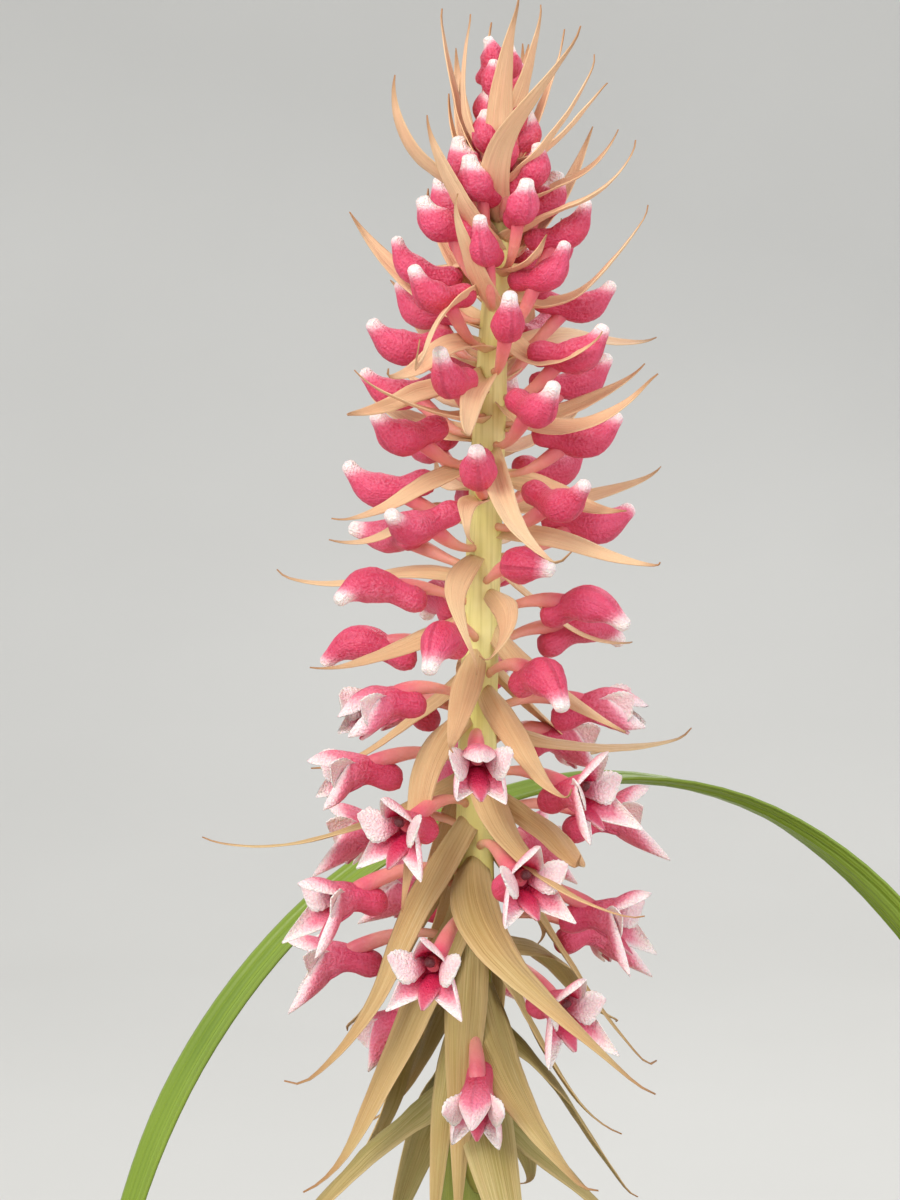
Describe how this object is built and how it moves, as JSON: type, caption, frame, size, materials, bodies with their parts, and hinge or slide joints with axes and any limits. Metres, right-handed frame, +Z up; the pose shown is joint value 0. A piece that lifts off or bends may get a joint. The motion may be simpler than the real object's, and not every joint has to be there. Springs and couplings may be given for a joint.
{
  "type": "flowering orchid in slatted basket",
  "caption": "Large-spiked orchid in flower: an erect dense raceme of pink boot-shaped buds with papery bracts, over egg-shaped bulbs and arching leaves, growing in a square wooden slat basket.",
  "frame": {"origin": "centre of the basket's underside, on the surface that it stands on", "axes": "+Z up along the spike, the spike's pictured side faces -Y, +X to its right"},
  "size_m": [0.6273, 0.6289, 0.4672],
  "materials": {
    "slat_wood": "matte",
    "rod_wire": "satin",
    "bark": "matte",
    "pseudobulb": "satin",
    "leaf": "satin",
    "sheath": "matte",
    "flower": "satin"
  },
  "bodies": {
    "root": {"basket_floor_slat_1": "slat_wood", "basket_floor_slat_2": "slat_wood", "basket_floor_slat_3": "slat_wood", "basket_floor_slat_4": "slat_wood", "basket_floor_slat_5": "slat_wood", "basket_floor_slat_6": "slat_wood", "basket_floor_slat_7": "slat_wood", "basket_front_slat_1": "slat_wood", "basket_front_slat_2": "slat_wood", "basket_front_slat_3": "slat_wood", "basket_front_slat_4": "slat_wood", "basket_back_slat_1": "slat_wood", "basket_back_slat_2": "slat_wood", "basket_back_slat_3": "slat_wood", "basket_back_slat_4": "slat_wood", "basket_left_slat_1": "slat_wood", "basket_left_slat_2": "slat_wood", "basket_left_slat_3": "slat_wood", "basket_right_slat_1": "slat_wood", "basket_right_slat_2": "slat_wood", "basket_right_slat_3": "slat_wood", "basket_corner_rod_1": "rod_wire", "basket_corner_rod_2": "rod_wire", "basket_corner_rod_3": "rod_wire", "basket_corner_rod_4": "rod_wire", "growing_medium": "bark", "pseudobulb_1": "pseudobulb", "pseudobulb_2": "pseudobulb", "pseudobulb_3": "pseudobulb", "pseudobulb_4": "pseudobulb", "pseudobulb_5": "pseudobulb", "leaf_1": "leaf", "leaf_2": "leaf", "leaf_3": "leaf", "leaf_4": "leaf", "leaf_5": "leaf", "leaf_6": "leaf", "leaf_7": "leaf", "leaf_8": "leaf", "leaf_9": "leaf", "leaf_10": "leaf", "spike_sheath_1": "sheath", "spike_sheath_2": "sheath", "spike_sheath_3": "sheath", "spike_sheath_4": "sheath", "spike_sheath_5": "sheath", "inflorescence": "flower"}
  },
  "joints": []
}
